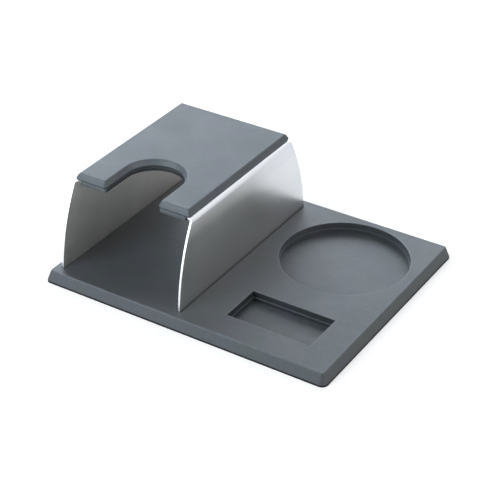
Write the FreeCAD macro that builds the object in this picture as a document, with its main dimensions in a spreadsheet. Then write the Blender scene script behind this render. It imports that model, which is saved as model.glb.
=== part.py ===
import FreeCAD, Part
import os
import re
import Sketcher

# Espresso tamping station: a rubber mat with two recesses, a folded steel bridge that stands
# in it, and a rubber pad pushed over the edges of the bridge's top plate.
# Millimetres. The origin is on the floor, under the middle of the mat. +X is right, +Y is the back.

# Driving dimensions, each written once
DRIVING = [
    ("dish_diameter", 103.0, "round recess, across its rim"),
    ("dish_side_margin", 8.5, "flat mat to the right of the round recess"),
    ("dish_back_margin", 5.8, "flat mat behind the round recess"),
    ("tray_width", 71.0, "rectangular recess, left to right"),
    ("tray_depth", 36.8, "rectangular recess, front to back"),
    ("tray_front_margin", 23.5, "flat mat in front of the rectangular recess"),
    ("recess_gap", 25.9, "flat mat between the two recesses"),
    ("ledge_depth", 5.2, "from the mat's top down to the ledge in both recesses"),
    ("ledge_width", 0.8, "width of that ledge"),
    ("recess_floor", 1.8, "rubber left under both recesses"),
    ("recess_rim_round", 0.4, "rounding of the recesses' rims"),
    ("mat_thick", 10.0, "mat, floor to flat top"),
    ("mat_corner", 5.0, "rounding of the mat's upright corners at the floor"),
    ("mat_slope_run", 3.5, "how far the mat's sloping sides lean in"),
    ("mat_skirt", 1.2, "upright edge under the sloping sides"),
    ("mat_edge_round", 0.8, "rounding between the slope and the flat top"),
    ("wall_side_margin", 5.2, "flat mat to the left of the bridge"),
    ("wall_end_margin", 7.5, "flat mat before and behind the bridge's walls"),
    ("wall_dish_gap", 15.1, "flat mat between the bridge and the round recess"),
    ("bridge_shift", 0.2, "how far the bridge stands towards the front from the mat's middle"),
    ("bridge_height", 80.0, "floor to the steel top"),
    ("foot_width", 111.2, "outside width of the bridge at its feet"),
    ("shoulder_width", 109.0, "outside width of the bridge at its top"),
    ("sheet_thick", 1.8, "steel sheet"),
    ("bend_inside", 1.8, "inside radius of the bends"),
    ("edge_arc", 165.0, "radius of the walls' curved front and back edges"),
    ("flange_width", 22.0, "foot turned in under the mat, outside of the wall to its edge"),
    ("flange_corner", 5.0, "rounding of the turned-in feet"),
    ("flange_lift", 0.6, "air between the turned-in feet and the floor"),
    ("foot_clearance", 0.3, "air round the walls where they pass through the mat"),
    ("shoulder_strip", 2.6, "steel left bare beside the pad, up to the wall's outside"),
    ("notch_shoulder", 4.3, "steel left at full length beside the top plate's set-back edges"),
    ("notch_round", 0.6, "inside corners of those set-back edges"),
    ("pad_overhang", 0.8, "how far the pad's widest line stands past the walls' top corners"),
    ("pad_thick", 5.8, "pad above the steel"),
    ("pad_slope_rise", 4.0, "height of the pad's sloping sides"),
    ("pad_slope_run", 2.3, "how far the pad's sloping sides lean in"),
    ("pad_undercut_rise", 2.4, "height of the slant under the pad's widest line"),
    ("pad_undercut_run", 1.2, "how far that slant goes in"),
    ("pad_edge_round", 0.3, "rounding of the pad's top edges"),
    ("slot_width", 47.6, "U-shaped cut-out at its narrowest line"),
    ("slot_straight", 28.1, "straight sides of the cut-out, from the pad's front to its round end"),
    ("mouth_corner", 3.0, "corners of the steel at the cut-out's mouth"),
    ("lip_inset", 0.6, "lower lip, set back from the pad's widest line"),
    ("lip_thick", 2.0, "lip under the steel"),
    ("lip_top_round", 0.5, "rounding of the lip's upper edge, beside the groove line"),
    ("lip_round", 0.9, "rounding of the lip's lower edge"),
    ("lip_reach", 7.0, "how far the lip reaches in under the steel"),
    ("lip_side_gap", 4.6, "gap between the ends of the lip and the walls"),
    ("web_setback", 2.2, "steel edge, set back from the pad's widest line"),
    ("web_clearance", 0.1, "air between the steel edge and the rubber web round it"),
    ("cut_spare", 4.0, "how far the shapes that cut run past what they cut"),
]

# Sizes worked out from the driving ones
DERIVED = [
    ("mat_width", "2 * mat_slope_run + wall_side_margin + foot_width + wall_dish_gap"
                  " + dish_diameter + dish_side_margin"),
    ("mat_depth", "2 * mat_slope_run + tray_front_margin + tray_depth + recess_gap"
                  " + dish_diameter + dish_back_margin"),
    ("recess_x", "mat_width / 2 - mat_slope_run - dish_side_margin - dish_diameter / 2"),
    ("dish_y", "mat_depth / 2 - mat_slope_run - dish_back_margin - dish_diameter / 2"),
    ("tray_y", "-mat_depth / 2 + mat_slope_run + tray_front_margin + tray_depth / 2"),
    ("bridge_x", "-mat_width / 2 + mat_slope_run + wall_side_margin + foot_width / 2"),
    ("bridge_y", "-bridge_shift"),
    ("wall_half_length", "mat_depth / 2 - mat_slope_run - wall_end_margin"),
    ("arc_centre", "sqrt(edge_arc * edge_arc - mat_thick * mat_thick) - wall_half_length"),
    ("wall_reach", "edge_arc - arc_centre"),
    ("shoulder_half_length", "sqrt(edge_arc * edge_arc - bridge_height * bridge_height) - arc_centre"),
    ("wall_lean", "(foot_width - shoulder_width) / 2 / (bridge_height - flange_lift)"),
    ("pad_half_width", "shoulder_width / 2 - shoulder_strip"),
    ("pad_half_length", "shoulder_half_length + pad_overhang"),
    ("slot_half", "slot_width / 2"),
    ("slot_centre", "-pad_half_length + slot_straight"),
    ("lip_half_width", "shoulder_width / 2 - sheet_thick - lip_side_gap"),
    ("plate_half_length", "pad_half_length - web_setback"),
]

# Small distance used to tell edges apart
NEAR = 0.01

doc = FreeCAD.newDocument("tamping_station")
sheet = doc.addObject("Spreadsheet::Sheet", "Sizes")


def fill_sheet():
    """Write every size into the sheet, with its name as the cell's alias."""
    row = 1
    for name, value, note in DRIVING:
        sheet.set("A%d" % row, name)
        sheet.set("B%d" % row, str(value))
        sheet.setAlias("B%d" % row, name)
        sheet.set("C%d" % row, note)
        row += 1
    for name, formula in DERIVED:
        sheet.set("A%d" % row, name)
        sheet.set("B%d" % row, "=" + formula)
        sheet.setAlias("B%d" % row, name)
        row += 1
    doc.recompute()


def tied(text):
    """Point every size named in a formula at the sheet."""
    return re.sub(r"[a-z]+(?:_[a-z]+)+", lambda match: "Sizes." + match.group(), text)


def size(text):
    """The present value of a formula."""
    return float(sheet.evalExpression(tied(text)))


# Sketches

def new_body(name, across="", along="", up=""):
    """A body named as its piece, placed by formulas."""
    body = doc.addObject("PartDesign::Body", name)
    body.Label = name
    for axis, text in (("x", across), ("y", along), ("z", up)):
        if text:
            body.setExpression("Placement.Base." + axis, tied(text))
    doc.recompute()
    return body


def new_sketch(body, name, plane_role, offset=""):
    """A sketch on one of the body's own planes, moved along that plane's normal."""
    sketch = body.newObject("Sketcher::SketchObject", name)
    plane = [feature for feature in body.Origin.OriginFeatures if feature.Role == plane_role][0]
    sketch.AttachmentSupport = [(plane, "")]
    sketch.MapMode = "FlatFace"
    if offset:
        sketch.setExpression("AttachmentOffset.Base.z", tied(offset))
    return sketch


def hold(sketch, kind, geometry, point, name, text):
    """Hold a point at a formula's distance from the sketch's origin."""
    index = sketch.addConstraint(Sketcher.Constraint(kind, -1, 1, geometry, point, size(text)))
    sketch.renameConstraint(index, name)
    sketch.setExpression("Constraints." + name, tied(text))


def hold_radius(sketch, geometry, name, text):
    """Hold an arc's or circle's radius at a formula."""
    index = sketch.addConstraint(Sketcher.Constraint("Radius", geometry, size(text)))
    sketch.renameConstraint(index, name)
    sketch.setExpression("Constraints." + name, tied(text))


def line(sketch, start, end):
    """Add a straight line between two vectors and return its number."""
    return sketch.addGeometry(Part.LineSegment(start, end), False)


def arc(sketch, centre, start, end):
    """Add the arc that runs anticlockwise from start to end and return its number."""
    upright = FreeCAD.Vector(0, 0, 1)
    circle = Part.Circle(centre, upright, (start - centre).Length)
    first, last = circle.parameter(start), circle.parameter(end)
    return sketch.addGeometry(Part.ArcOfCircle(circle, first, last), False)


def polygon(sketch, name, corners):
    """Draw a closed line with sharp corners, each held at its own two formulas."""
    points = [FreeCAD.Vector(size(x), size(y), 0) for x, y in corners]
    count = len(points)
    edges = [line(sketch, points[i], points[(i + 1) % count]) for i in range(count)]
    for i in range(count):
        sketch.addConstraint(Sketcher.Constraint("Coincident", edges[i - 1], 2, edges[i], 1))
        hold(sketch, "DistanceX", edges[i], 1, "%s_x%d" % (name, i), corners[i][0])
        hold(sketch, "DistanceY", edges[i], 1, "%s_y%d" % (name, i), corners[i][1])


def square_outline(sketch, name, corners):
    """Draw a closed line of level and upright runs with rounded corners, anticlockwise.

    Each corner is (x, y, radius), and a radius of "" leaves it sharp. A radius of None marks the
    two ends of a half round, which takes the place of the run between them.
    """
    points = [FreeCAD.Vector(size(x), size(y), 0) for x, y, radius in corners]
    radii = [size(radius) if radius else 0.0 for x, y, radius in corners]
    count = len(corners)
    ahead = []
    for i in range(count):
        step = points[(i + 1) % count] - points[i]
        ahead.append(step / step.Length)
    runs = []
    for i in range(count):
        after = (i + 1) % count
        if corners[i][2] is None and corners[after][2] is None:
            middle = (points[i] + points[after]) / 2
            if ahead[i - 1].cross(ahead[i]).z > 0:
                run = arc(sketch, middle, points[i], points[after])
                runs.append((run, 1, 2))
            else:
                run = arc(sketch, middle, points[after], points[i])
                runs.append((run, 2, 1))
            hold(sketch, "DistanceY", run, 3, "%s_round%d" % (name, i), corners[i][1])
            continue
        run = line(sketch, points[i] + ahead[i] * radii[i], points[after] - ahead[i] * radii[after])
        if corners[i][0] == corners[after][0]:
            sketch.addConstraint(Sketcher.Constraint("Vertical", run))
            hold(sketch, "DistanceX", run, 1, "%s_run%d" % (name, i), corners[i][0])
        else:
            sketch.addConstraint(Sketcher.Constraint("Horizontal", run))
            hold(sketch, "DistanceY", run, 1, "%s_run%d" % (name, i), corners[i][1])
        runs.append((run, 1, 2))
    for i in range(count):
        before, now = runs[i - 1], runs[i]
        if not corners[i][2]:
            meeting = "Tangent" if corners[i][2] is None else "Coincident"
            sketch.addConstraint(Sketcher.Constraint(meeting, before[0], before[2], now[0], now[1]))
            continue
        entry = points[i] - ahead[i - 1] * radii[i]
        leave = points[i] + ahead[i] * radii[i]
        centre = entry + ahead[i] * radii[i]
        if ahead[i - 1].cross(ahead[i]).z > 0:
            bend = (arc(sketch, centre, entry, leave), 1, 2)
        else:
            bend = (arc(sketch, centre, leave, entry), 2, 1)
        sketch.addConstraint(Sketcher.Constraint("Tangent", before[0], before[2], bend[0], bend[1]))
        sketch.addConstraint(Sketcher.Constraint("Tangent", bend[0], bend[2], now[0], now[1]))
        hold_radius(sketch, bend[0], "%s_corner%d" % (name, i), corners[i][2])


def slotted_outline(sketch, name, half_x, half_y, slot_half, corner, mouth):
    """Draw a rectangle with a U-shaped cut-out that opens to the front."""
    square_outline(sketch, name, [
        ("-(%s)" % half_x, "-(%s)" % half_y, corner),
        ("-(%s)" % slot_half, "-(%s)" % half_y, mouth),
        ("-(%s)" % slot_half, "slot_centre", None),
        (slot_half, "slot_centre", None),
        (slot_half, "-(%s)" % half_y, mouth),
        (half_x, "-(%s)" % half_y, corner),
        (half_x, half_y, corner),
        ("-(%s)" % half_x, half_y, corner),
    ])


# Features

def grow(body, profile, name, length, both_ways=False):
    """Pad a profile, one way or half to each side."""
    pad = body.newObject("PartDesign::Pad", name)
    pad.Profile = profile
    pad.setExpression("Length", tied(length))
    pad.SideType = "Symmetric" if both_ways else "One side"
    doc.recompute()
    return pad


def cut(body, profile, name, length, both_ways=False):
    """Pocket a profile against its sketch's normal, and make sure that it removed something."""
    before = body.Shape.Volume
    pocket = body.newObject("PartDesign::Pocket", name)
    pocket.Profile = profile
    pocket.setExpression("Length", tied(length))
    pocket.SideType = "Symmetric" if both_ways else "One side"
    doc.recompute()
    if body.Shape.Volume > before - NEAR:
        raise RuntimeError(name + " removes nothing")
    return pocket


def chosen_edges(feature, wanted):
    """The names of the feature's edges that pass a test."""
    shape = feature.Shape
    return [("Edge%d" % (i + 1)) for i, edge in enumerate(shape.Edges) if wanted(edge)]


def at_level(height):
    """A test for edges that lie flat at one height."""
    def wanted(edge):
        box = edge.BoundBox
        return abs(box.ZMin - height) < NEAR and abs(box.ZMax - height) < NEAR
    return wanted


def soften(body, base, name, radius, wanted):
    """Round the chosen edges."""
    fillet = body.newObject("PartDesign::Fillet", name)
    fillet.Base = (base, chosen_edges(base, wanted))
    fillet.setExpression("Radius", tied(radius))
    doc.recompute()
    return fillet


def bevel(body, base, name, upright, level, height):
    """Cut the square edges at a height off at a slant, by one length down and another one across.

    A chamfer counts its first length on the first of an edge's two faces. The edges whose first
    face is the level one therefore get a feature of their own, with the lengths exchanged. Each
    feature numbers the faces anew, so that the edges are sorted again for the next one.
    """
    def square_edge(level_first):
        def wanted(edge):
            if not at_level(height)(edge):
                return False
            faces = base.Shape.ancestorsOfType(edge, Part.Face)
            steep = [abs(face.normalAt(0, 0).z) for face in faces]
            upright_face, level_face = reversed(steep) if level_first else steep
            return upright_face < NEAR and level_face > 1 - NEAR
        return wanted

    for suffix in ("", "Second", "Third", "Last"):
        level_first = not chosen_edges(base, square_edge(False))
        names = chosen_edges(base, square_edge(level_first))
        if not names:
            break
        first, second = (level, upright) if level_first else (upright, level)
        chamfer = body.newObject("PartDesign::Chamfer", name + suffix)
        chamfer.Base = (base, names)
        chamfer.ChamferType = "Two distances"
        chamfer.setExpression("Size", tied(first))
        chamfer.setExpression("Size2", tied(second))
        doc.recompute()
        base = chamfer
    return base


# The mat

def rounded_rectangle(sketch, name, centre_x, centre_y, width, depth, corner):
    """Draw a rectangle with rounded corners round a centre."""
    left = "%s - (%s) / 2" % (centre_x, width)
    right = "%s + (%s) / 2" % (centre_x, width)
    front = "%s - (%s) / 2" % (centre_y, depth)
    back = "%s + (%s) / 2" % (centre_y, depth)
    square_outline(sketch, name, [
        (left, front, corner),
        (right, front, corner),
        (right, back, corner),
        (left, back, corner),
    ])


def make_mat():
    """The rubber mat: sloping sides, two stepped recesses and the seats of the bridge's feet."""
    body = new_body("base_mat")
    outline = new_sketch(body, "MatOutline", "XY_Plane")
    rounded_rectangle(outline, "mat", "0", "0", "mat_width", "mat_depth", "mat_corner")
    block = grow(body, outline, "MatBlock", "mat_thick")
    top = size("mat_thick")
    slope = bevel(body, block, "MatSlope", "mat_thick - mat_skirt", "mat_slope_run", top)
    soften(body, slope, "MatEdge", "mat_edge_round", at_level(top))

    # Each recess is cut twice: down to the ledge at full size, then to its floor inside the ledge
    for level, inset, depth in (("Upper", "0", "ledge_depth"),
                                ("Lower", "ledge_width", "mat_thick - recess_floor")):
        round_cut = new_sketch(body, "Dish" + level, "XY_Plane", "mat_thick")
        centre = FreeCAD.Vector(size("recess_x"), size("dish_y"), 0)
        radius = "dish_diameter / 2 - " + inset
        circle = round_cut.addGeometry(Part.Circle(centre, FreeCAD.Vector(0, 0, 1), size(radius)), False)
        hold(round_cut, "DistanceX", circle, 3, "dish_x", "recess_x")
        hold(round_cut, "DistanceY", circle, 3, "dish_y", "dish_y")
        hold_radius(round_cut, circle, "dish_radius", radius)
        cut(body, round_cut, "DishPocket" + level, depth)

        square_cut = new_sketch(body, "Tray" + level, "XY_Plane", "mat_thick")
        across = "tray_width / 2 - " + inset
        along = "tray_depth / 2 - " + inset
        polygon(square_cut, "tray", [
            ("recess_x - (%s)" % across, "tray_y - (%s)" % along),
            ("recess_x + (%s)" % across, "tray_y - (%s)" % along),
            ("recess_x + (%s)" % across, "tray_y + (%s)" % along),
            ("recess_x - (%s)" % across, "tray_y + (%s)" % along),
        ])
        last = cut(body, square_cut, "TrayPocket" + level, depth)

    def recess_rim(edge):
        box = edge.BoundBox
        flat_right = size("mat_width / 2 - mat_slope_run - dish_side_margin / 2")
        return at_level(top)(edge) and box.XMin > size("bridge_x") and box.XMax < flat_right

    soften(body, last, "RecessRims", "recess_rim_round", recess_rim)

    # Each foot's seat is one section, cut along the wall: a slit through the mat, a pocket under
    # it for the turned-in foot, and a bevel between them that clears the inside of the bend
    seats = new_sketch(body, "FootSeats", "XZ_Plane", "-bridge_y")
    bend_relief = "(bend_inside + 2 * foot_clearance)"
    ceiling = "flange_lift + sheet_thick"
    for name, side in (("left", "-"), ("right", "+")):
        def from_wall(inward, height):
            """A place measured inwards from the wall's outside at some height above the foot."""
            lean = "wall_lean * (%s - flange_lift)" % height
            return "bridge_x %s (foot_width / 2 - %s - (%s))" % (side, lean, inward)
        slit_inside = "sheet_thick + foot_clearance"
        polygon(seats, name, [
            (from_wall("-foot_clearance", "flange_lift"), "-foot_clearance"),
            (from_wall("-foot_clearance", "mat_thick"), "mat_thick + foot_clearance"),
            (from_wall(slit_inside, "mat_thick"), "mat_thick + foot_clearance"),
            (from_wall(slit_inside, ceiling), "%s + %s" % (ceiling, bend_relief)),
            (from_wall("%s + %s" % (slit_inside, bend_relief), "flange_lift"), ceiling),
            (from_wall("flange_width + foot_clearance", "flange_lift"), ceiling),
            (from_wall("flange_width + foot_clearance", "flange_lift"), "-foot_clearance"),
        ])
    cut(body, seats, "FootSeatPockets", "2 * (wall_reach + foot_clearance)", both_ways=True)
    return body


# The bridge

def make_bridge():
    """The folded sheet: a top plate, two walls with curved edges and two feet turned inwards."""
    body = new_body("steel_bridge", "bridge_x", "bridge_y")
    section = new_sketch(body, "FoldedSection", "XZ_Plane")
    foot, shoulder = "foot_width / 2", "shoulder_width / 2"
    inner_foot = "foot_width / 2 - sheet_thick - sheet_thick * wall_lean"
    inner_shoulder = "shoulder_width / 2 - sheet_thick + sheet_thick * wall_lean"
    low, low_inside = "flange_lift", "flange_lift + sheet_thick"
    high, high_inside = "bridge_height", "bridge_height - sheet_thick"
    toe = "foot_width / 2 - flange_width"
    right_half = [(toe, low), (foot, low), (shoulder, high)]
    right_inside = [(inner_shoulder, high_inside), (inner_foot, low_inside), (toe, low_inside)]
    polygon(section, "fold", right_half
            + [("-(%s)" % x, z) for x, z in reversed(right_half)]
            + [("-(%s)" % x, z) for x, z in reversed(right_inside)]
            + right_inside)
    folded = grow(body, section, "FoldedSheet", "2 * (wall_reach + cut_spare)", both_ways=True)

    def bends(corners):
        """A test for the long edges that stand at the section's named corners, on both sides."""
        places = [(size(x), size(z)) for x, z in corners]
        def wanted(edge):
            box = edge.BoundBox
            across = abs(box.XMin + box.XMax) / 2
            up = (box.ZMin + box.ZMax) / 2
            if box.YLength < size("wall_reach"):
                return False
            return any(abs(across - x) < NEAR and abs(up - z) < NEAR for x, z in places)
        return wanted

    outside = bends([(foot, low), (shoulder, high)])
    inside = bends([(inner_foot, low_inside), (inner_shoulder, high_inside)])
    rounded = soften(body, folded, "OuterBends", "bend_inside + sheet_thick", outside)
    soften(body, rounded, "InnerBends", "bend_inside", inside)

    # The walls' front and back edges are arcs centred on the floor's level
    edges = new_sketch(body, "WallEdges", "YZ_Plane")
    beyond = "wall_reach + 2 * cut_spare"
    under, over = "-sheet_thick", "bridge_height + sheet_thick"
    for name, side in (("front", "-"), ("back", "")):
        low_y = "%s(sqrt(edge_arc^2 - sheet_thick^2) - arc_centre)" % side
        high_y = "%s(sqrt(edge_arc^2 - (%s)^2) - arc_centre)" % (side, over)
        far_y = "%s(%s)" % (side, beyond)
        points = [FreeCAD.Vector(size(y), size(z), 0)
                  for y, z in ((low_y, under), (far_y, under), (far_y, over), (high_y, over))]
        sole = line(edges, points[0], points[1])
        outer = line(edges, points[1], points[2])
        crown = line(edges, points[2], points[3])
        middle = FreeCAD.Vector(-size("%sarc_centre" % side), 0, 0)
        if side:
            curve = arc(edges, middle, points[3], points[0])
            edges.addConstraint(Sketcher.Constraint("Coincident", crown, 2, curve, 1))
            edges.addConstraint(Sketcher.Constraint("Coincident", sole, 1, curve, 2))
        else:
            curve = arc(edges, middle, points[0], points[3])
            edges.addConstraint(Sketcher.Constraint("Coincident", crown, 2, curve, 2))
            edges.addConstraint(Sketcher.Constraint("Coincident", sole, 1, curve, 1))
        edges.addConstraint(Sketcher.Constraint("Horizontal", sole))
        edges.addConstraint(Sketcher.Constraint("Vertical", outer))
        edges.addConstraint(Sketcher.Constraint("Horizontal", crown))
        edges.addConstraint(Sketcher.Constraint("Coincident", sole, 2, outer, 1))
        edges.addConstraint(Sketcher.Constraint("Coincident", outer, 2, crown, 1))
        edges.addConstraint(Sketcher.Constraint("PointOnObject", curve, 3, -1))
        hold(edges, "DistanceY", sole, 2, name + "_under", under)
        hold(edges, "DistanceY", crown, 1, name + "_over", over)
        hold(edges, "DistanceX", outer, 1, name + "_far", far_y)
        hold(edges, "DistanceX", curve, 3, name + "_middle", "-(%sarc_centre)" % side)
        hold_radius(edges, curve, name + "_arc", "edge_arc")
    cut(body, edges, "WallEdgeCuts", "foot_width + 2 * cut_spare", both_ways=True)

    # The top plate's front and back edges are set back between the walls, and the front one
    # runs into the U-shaped cut-out
    notch_half = "shoulder_width / 2 - notch_shoulder"
    slot_edge = "slot_half + web_setback"
    front_cut = new_sketch(body, "PlateFront", "XY_Plane", "bridge_height")
    square_outline(front_cut, "front", [
        ("-(%s)" % notch_half, "-wall_reach", ""),
        (notch_half, "-wall_reach", ""),
        (notch_half, "-plate_half_length", "notch_round"),
        (slot_edge, "-plate_half_length", "mouth_corner - web_setback"),
        (slot_edge, "slot_centre", None),
        ("-(%s)" % slot_edge, "slot_centre", None),
        ("-(%s)" % slot_edge, "-plate_half_length", "mouth_corner - web_setback"),
        ("-(%s)" % notch_half, "-plate_half_length", "notch_round"),
    ])
    cut(body, front_cut, "PlateFrontCut", "sheet_thick + cut_spare")
    back_cut = new_sketch(body, "PlateBack", "XY_Plane", "bridge_height")
    square_outline(back_cut, "back", [
        ("-(%s)" % notch_half, "plate_half_length", "notch_round"),
        (notch_half, "plate_half_length", "notch_round"),
        (notch_half, "wall_reach", ""),
        ("-(%s)" % notch_half, "wall_reach", ""),
    ])
    last = cut(body, back_cut, "PlateBackCut", "sheet_thick + cut_spare")

    def toe_corner(edge):
        box = edge.BoundBox
        upright = box.XLength < NEAR and box.ZMax < size(low_inside) + NEAR and box.ZLength > NEAR
        return upright and abs(abs(box.XMin) - size(toe)) < NEAR

    soften(body, last, "ToeCorners", "flange_corner", toe_corner)
    return body


# The pad

def make_pad():
    """The rubber pad: sloping sides above the steel, and a grooved lip that grips its edges."""
    body = new_body("top_pad", "bridge_x", "bridge_y", "bridge_height")
    top, groove = size("pad_thick"), size("-sheet_thick / 2")
    upper = new_sketch(body, "PadOutline", "XY_Plane", "-sheet_thick / 2")
    slotted_outline(upper, "pad", "pad_half_width", "pad_half_length", "slot_half", "", "")
    block = grow(body, upper, "PadBlock", "pad_thick + sheet_thick / 2")
    slope = bevel(body, block, "PadSlope", "pad_slope_rise", "pad_slope_run", top)

    under = bevel(body, slope, "PadUndercut", "pad_undercut_rise", "pad_undercut_run", groove)
    soften(body, under, "PadEdge", "pad_edge_round", at_level(top))

    # Beside the lip the pad lies on the steel
    relief = new_sketch(body, "SideRelief", "XY_Plane")
    for name, side in (("left", "-"), ("right", "")):
        near, far = "%s(lip_half_width)" % side, "%s(pad_half_width + cut_spare)" % side
        end = "(pad_half_length + cut_spare)"
        polygon(relief, name, [(near, "-" + end), (far, "-" + end), (far, end), (near, end)])
    cut(body, relief, "SideReliefCuts", "sheet_thick")

    # The lip below the steel's edges
    lip = new_sketch(body, "LipOutline", "XY_Plane", "-(sheet_thick + lip_thick)")
    slotted_outline(lip, "lip", "lip_half_width", "pad_half_length - lip_inset", "slot_half + lip_inset",
                    "", "")
    grow(body, lip, "LipBlock", "sheet_thick / 2 + lip_thick")

    # The steel's place between pad and lip, and the open middle of the lip
    steel = new_sketch(body, "SteelOutline", "XY_Plane")
    setback = "(web_setback - web_clearance)"
    slotted_outline(steel, "steel", "lip_half_width + lip_side_gap / 2", "pad_half_length - " + setback,
                    "slot_half + " + setback, "notch_round", "mouth_corner - " + setback)
    cut(body, steel, "SteelSlot", "sheet_thick")
    opening = new_sketch(body, "LipOpening", "XY_Plane", "-sheet_thick")
    slotted_outline(opening, "opening", "lip_half_width + lip_side_gap / 2",
                    "pad_half_length - lip_inset - lip_reach", "slot_half + lip_inset + lip_reach",
                    "notch_round", "notch_round")
    ring = cut(body, opening, "LipOpeningCut", "lip_thick + cut_spare")

    def groove_edge(edge):
        """The lip's upper edge, where a ledge that faces up meets a side that goes down."""
        box = edge.BoundBox
        at_end = abs(abs(box.XMin) - size("lip_half_width")) < NEAR and box.XLength < NEAR
        if at_end or not at_level(groove)(edge):
            return False
        faces = ring.Shape.ancestorsOfType(edge, Part.Face)
        ledges = [face for face in faces if face.BoundBox.ZLength < NEAR and face.normalAt(0, 0).z > 0]
        sides = [face for face in faces if min(corner.Z for corner in face.Vertexes) < groove - NEAR]
        return bool(ledges) and bool(sides)

    def lip_sole_edge(edge):
        """The lip's lower outside edge, where it shows: the edges of its open middle stay sharp."""
        box = edge.BoundBox
        half_x, half_y = size("lip_half_width"), size("pad_half_length - lip_inset")
        middle = edge.valueAt((edge.FirstParameter + edge.LastParameter) / 2)
        end = abs(abs(middle.y) - half_y) < size("mouth_corner")
        to_round = (middle - FreeCAD.Vector(0, size("slot_centre"), middle.z)).Length
        slot = abs(middle.x) < size("slot_half + mouth_corner") and middle.y < size("slot_centre") + NEAR
        slot = slot or (middle.y > size("slot_centre") and to_round < size("slot_half + mouth_corner"))
        return at_level(-size("sheet_thick + lip_thick"))(edge) and (end or slot)

    top_round = soften(body, ring, "LipTopRound", "lip_top_round", groove_edge)
    soften(body, top_round, "LipRound", "lip_round", lip_sole_edge)
    return body


# Build, check and write every piece
fill_sheet()
pieces = [make_mat(), make_bridge(), make_pad()]
doc.recompute()

for item in doc.Objects:
    if "Invalid" in item.State or "Error" in item.State:
        raise RuntimeError("%s could not be built: %s" % (item.Name, item.State))

os.makedirs("parts", exist_ok=True)
for piece in pieces:
    shape = piece.Shape
    if shape.isNull() or not shape.isValid():
        raise RuntimeError(piece.Label + " is not a valid shape")
    shape.exportStep("parts/%s.step" % piece.Label)
    box = shape.BoundBox
    print("%s: %d solid, %.2f cm3, x %.2f..%.2f, y %.2f..%.2f, z %.2f..%.2f" % (
        piece.Label, len(shape.Solids), shape.Volume / 1000,
        box.XMin, box.XMax, box.YMin, box.YMax, box.ZMin, box.ZMax))
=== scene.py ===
# %% [markdown]
# # An espresso tamping station
#
# A rubber mat carries a bridge of folded, brushed steel, and a rubber pad grips the edges of
# the bridge's top plate. The spouts of a portafilter hang in the pad's U-shaped cut-out while
# its coffee is pressed, and a tamper waits in the round recess of the mat.
#
# The first cell loads the measured parts. They are in metres, they stand on z = 0, +X is to the
# right and +Y is the back. Everything that follows only gives them shape and finish to look at.

# %% Load the measured parts
import math

import bmesh
import bpy
from mathutils import Euler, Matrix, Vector


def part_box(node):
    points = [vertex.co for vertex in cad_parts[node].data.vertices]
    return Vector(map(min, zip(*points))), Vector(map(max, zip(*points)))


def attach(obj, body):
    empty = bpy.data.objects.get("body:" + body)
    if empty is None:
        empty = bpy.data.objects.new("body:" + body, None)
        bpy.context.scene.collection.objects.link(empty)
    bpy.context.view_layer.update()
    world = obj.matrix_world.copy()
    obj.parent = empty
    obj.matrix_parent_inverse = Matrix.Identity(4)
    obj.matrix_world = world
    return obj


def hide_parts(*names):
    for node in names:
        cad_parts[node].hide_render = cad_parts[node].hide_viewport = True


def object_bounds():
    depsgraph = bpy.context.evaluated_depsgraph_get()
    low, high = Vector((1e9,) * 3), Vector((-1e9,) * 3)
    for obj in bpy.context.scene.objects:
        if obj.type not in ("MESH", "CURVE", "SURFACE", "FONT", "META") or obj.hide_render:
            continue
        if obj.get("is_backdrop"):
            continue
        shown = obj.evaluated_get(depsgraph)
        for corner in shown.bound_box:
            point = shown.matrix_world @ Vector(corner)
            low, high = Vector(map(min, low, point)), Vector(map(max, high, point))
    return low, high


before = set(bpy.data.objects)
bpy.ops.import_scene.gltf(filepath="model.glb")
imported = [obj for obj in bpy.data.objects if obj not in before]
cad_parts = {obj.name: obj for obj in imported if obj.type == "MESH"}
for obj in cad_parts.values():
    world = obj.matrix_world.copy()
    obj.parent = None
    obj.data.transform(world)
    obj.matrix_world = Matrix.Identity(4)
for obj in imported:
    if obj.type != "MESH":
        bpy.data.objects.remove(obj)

parts_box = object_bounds()


def in_mm(corner):
    """A corner for printing, in millimetres."""
    return [round(1000 * float(n), 2) for n in corner]


print("the parts reach from %s to %s mm" % tuple(in_mm(corner) for corner in parts_box))

# %% [markdown]
# ## Where the edges are
#
# Painted highlights and painted shade follow edges: rims are painted pale where light catches them,
# and seams and the foot of a wall are painted dark where a contact shadow falls. The bridge and the
# pad are made again further down, to the size of the measured ones. So the levels and distances
# that all of this needs get their names here. The boxes of the parts give some of them, and the
# others are lengths that the parts were built with.

# %% Boxes of the parts
mat_low, mat_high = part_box("base_mat")
steel_low, steel_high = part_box("steel_bridge")
pad_low, pad_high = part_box("top_pad")
for name, low, high in (("mat", mat_low, mat_high), ("bridge", steel_low, steel_high),
                        ("pad", pad_low, pad_high)):
    print("%s: from %s to %s mm" % (name, in_mm(low), in_mm(high)))

# %% Levels and distances, in metres
mat_top, plate_level, pad_top, pad_front = mat_high[2], steel_high[2], pad_high[2], pad_low[1]
middle = Vector(((steel_low[0] + steel_high[0]) / 2, (steel_low[1] + steel_high[1]) / 2, 0.0))

# The mat: its flat top from the middle to the slopes, and the two recesses with their ledge
slope_run = 0.0035
flat_half_x, flat_half_y = mat_high[0] - slope_run, mat_high[1] - slope_run
recess_x, recess_floor, ledge_level = 0.0615, 0.0018, mat_top - 0.0052
dish_y, dish_radius = 0.0402, 0.0515
tray_y, tray_half_x, tray_half_y = -0.0556, 0.0355, 0.0184

# The bridge: half its width at the feet and at the top, and half the length of its walls
foot_half, shoulder_half, wall_half_length = 0.0556, 0.0545, 0.0900

# The pad: half its width, and half the width of the U-shaped opening
pad_half, slot_half = shoulder_half - 0.0026, 0.0238
print("the bridge stands on", in_mm(middle), "mm and the mat is flat to",
      in_mm((flat_half_x, flat_half_y)), "mm")

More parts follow.
